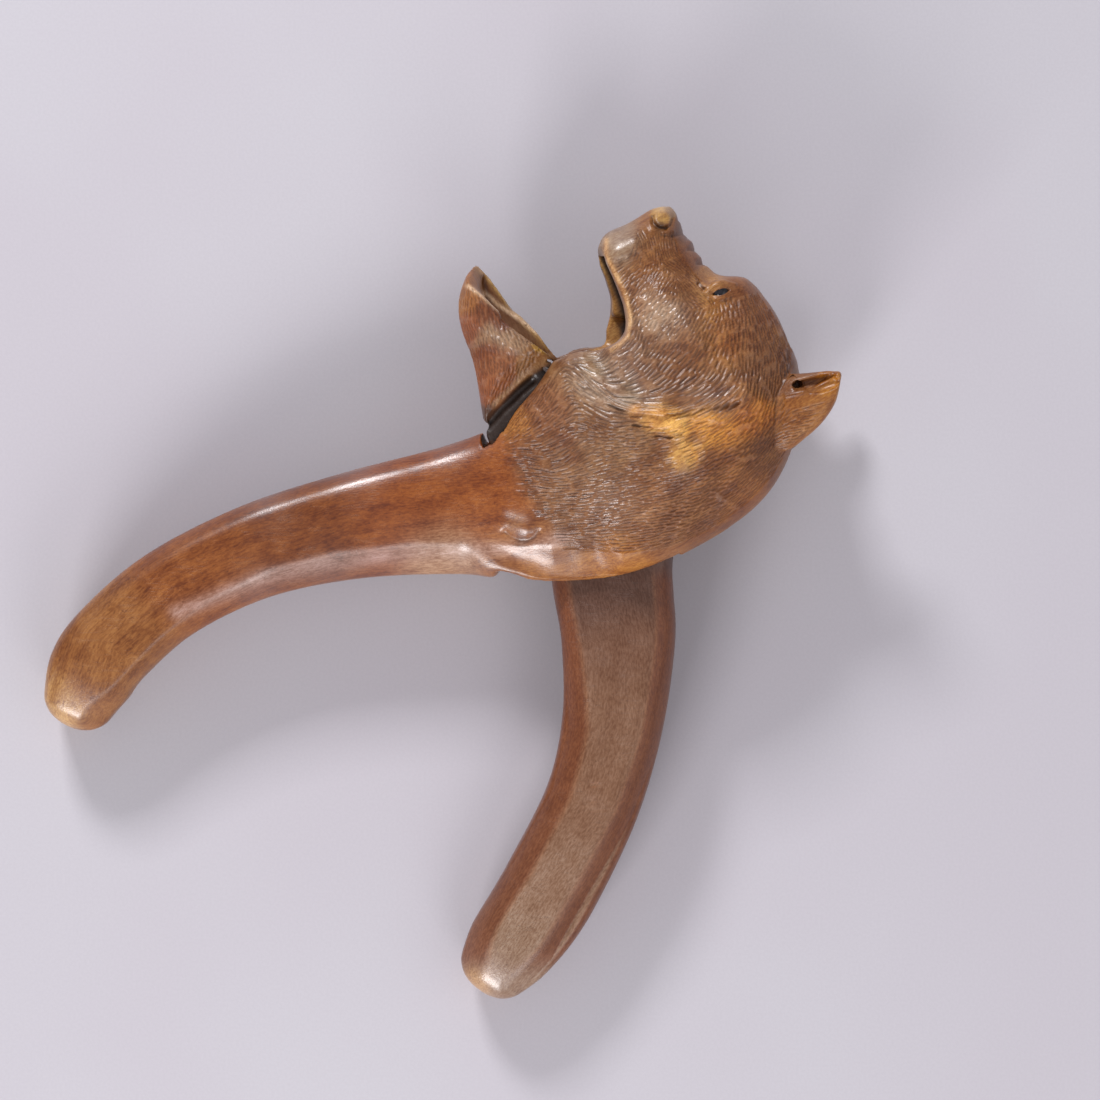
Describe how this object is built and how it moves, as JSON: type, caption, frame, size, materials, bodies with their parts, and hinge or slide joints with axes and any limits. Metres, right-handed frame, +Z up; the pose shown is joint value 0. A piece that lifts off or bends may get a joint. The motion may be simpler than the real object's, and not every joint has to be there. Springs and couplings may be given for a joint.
{
  "type": "lever nutcracker",
  "caption": "Carved wooden lever nutcracker shaped as a bear's head, whose lower jaw and handle turn on a hidden cross pin to close against the upper jaw.",
  "frame": {"origin": "centre of the footprint on the table, with the nutcracker lying on its right cheek and handle ends as in the picture", "axes": "+Z up from the table; seen from above, +X is to the right of the picture, away from the handle of the head, and +Y is to its top, towards the nose"},
  "size_m": [0.1924, 0.1916, 0.0449],
  "materials": {
    "carved_walnut": "waxed, worn satin",
    "lever_walnut": "waxed, worn satin",
    "pin_brass": "turned",
    "eye_glass": "polished"
  },
  "bodies": {
    "head": {"head_and_handle": "carved_walnut", "pivot_pin": "pin_brass", "eye_left": "eye_glass", "eye_right": "eye_glass"},
    "jaw": {"jaw_and_handle": "lever_walnut"}
  },
  "joints": [
    {"name": "jaw_pivot", "type": "hinge", "parent": "head", "child": "jaw", "pos_m": [0.03932, 0.03073, 0.0201], "axis": [-0.0435, -0.0876, 0.9952], "range_deg": [-27.5, 2.5]}
  ]
}
